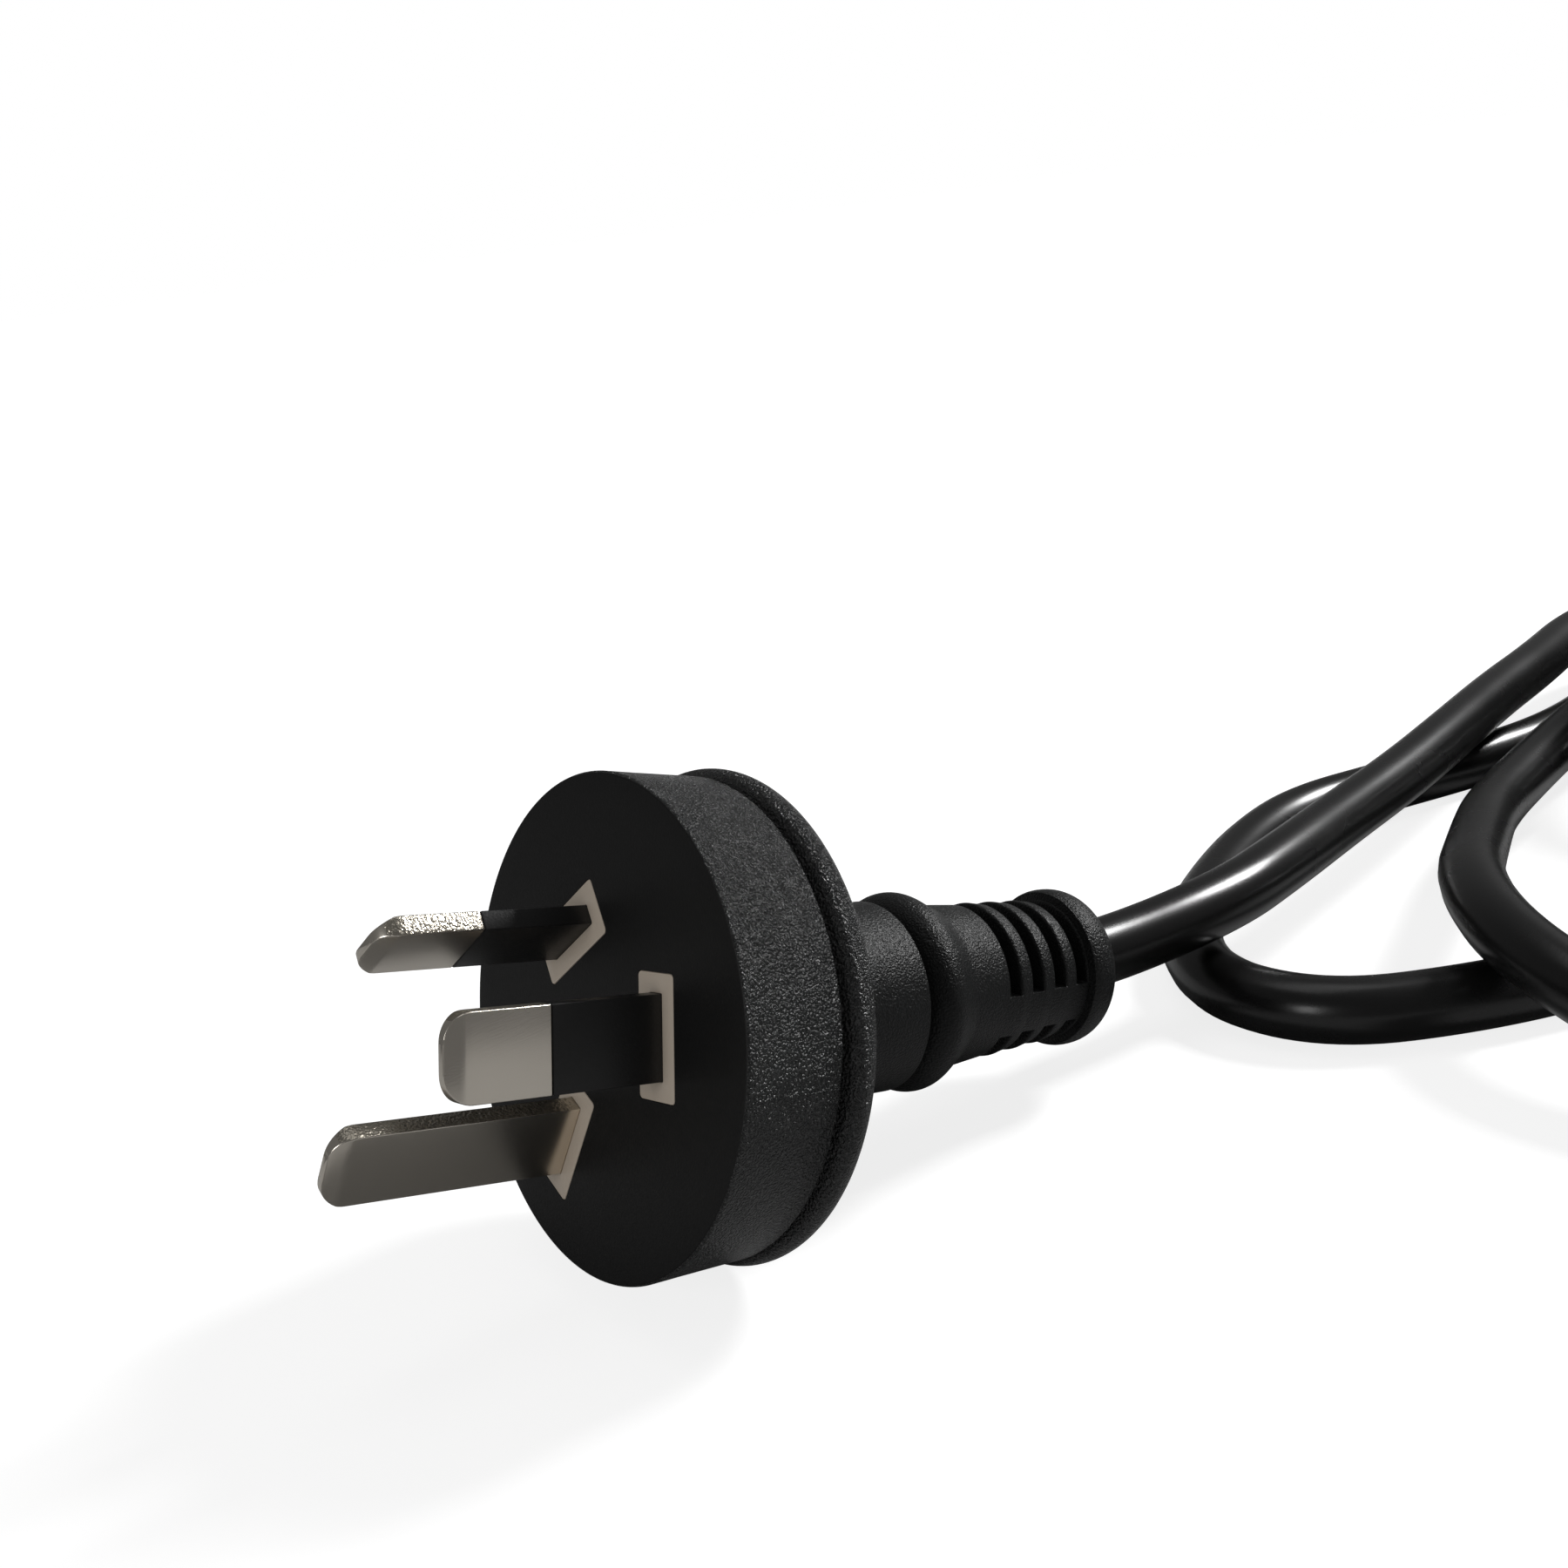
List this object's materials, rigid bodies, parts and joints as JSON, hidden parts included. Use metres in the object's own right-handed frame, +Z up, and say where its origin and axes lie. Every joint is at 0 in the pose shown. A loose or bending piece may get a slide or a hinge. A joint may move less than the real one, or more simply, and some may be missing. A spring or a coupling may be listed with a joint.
{
  "type": "power cord",
  "caption": "Round black power cord with a moulded plug of flat pins, loose loops, a tied round coil and a moulded appliance connector on its far end.",
  "frame": {"origin": "centre of the plug's bounding box in X and Y, at the surface that the plug and its cord lie on", "axes": "+Z up from that surface, +X along the plug from its pins towards its cord, +Y to the side that the cord's lead first bends to"},
  "size_m": [0.2506, 0.1103, 0.0399],
  "materials": {
    "overmould": "satin black PVC with a fine moulded grain",
    "cord_jacket": "semi-gloss black PVC cord jacket",
    "carrier": "off-white rigid insert plastic",
    "pin_metal": "bright nickel-plated brass",
    "pin_insulation": "satin black pin insulation",
    "contact_metal": "plain brass contact",
    "copper": "bare stranded copper",
    "core_brown": "brown core insulation",
    "core_blue": "light blue core insulation",
    "core_green_yellow": "green and yellow core insulation",
    "tie": "matte black flexible tie strip",
    "insert_black": "matte black rigid connector insert"
  },
  "bodies": {
    "root": {"plug_body": "overmould", "pin_carrier": "carrier", "active_pin": "pin_metal", "neutral_pin": "pin_metal", "earth_pin": "pin_metal", "active_pin_sleeve": "pin_insulation", "neutral_pin_sleeve": "pin_insulation", "active_core_insulation": "core_brown", "neutral_core_insulation": "core_blue", "earth_core_insulation": "core_green_yellow", "active_conductor": "copper", "neutral_conductor": "copper", "earth_conductor": "copper", "cord_plug_lead": "cord_jacket", "cord_lower_loop": "cord_jacket", "cord_upper_loop": "cord_jacket", "cord_connector_lead": "cord_jacket", "cord_coil": "cord_jacket", "coil_tie": "tie", "connector_body": "overmould", "connector_insert": "insert_black", "connector_line_contact": "contact_metal", "connector_return_contact": "contact_metal", "connector_ground_contact": "contact_metal", "connector_line_insulation": "core_brown", "connector_return_insulation": "core_blue", "connector_ground_insulation": "core_green_yellow", "connector_line_conductor": "copper", "connector_return_conductor": "copper", "connector_ground_conductor": "copper"}
  },
  "joints": []
}
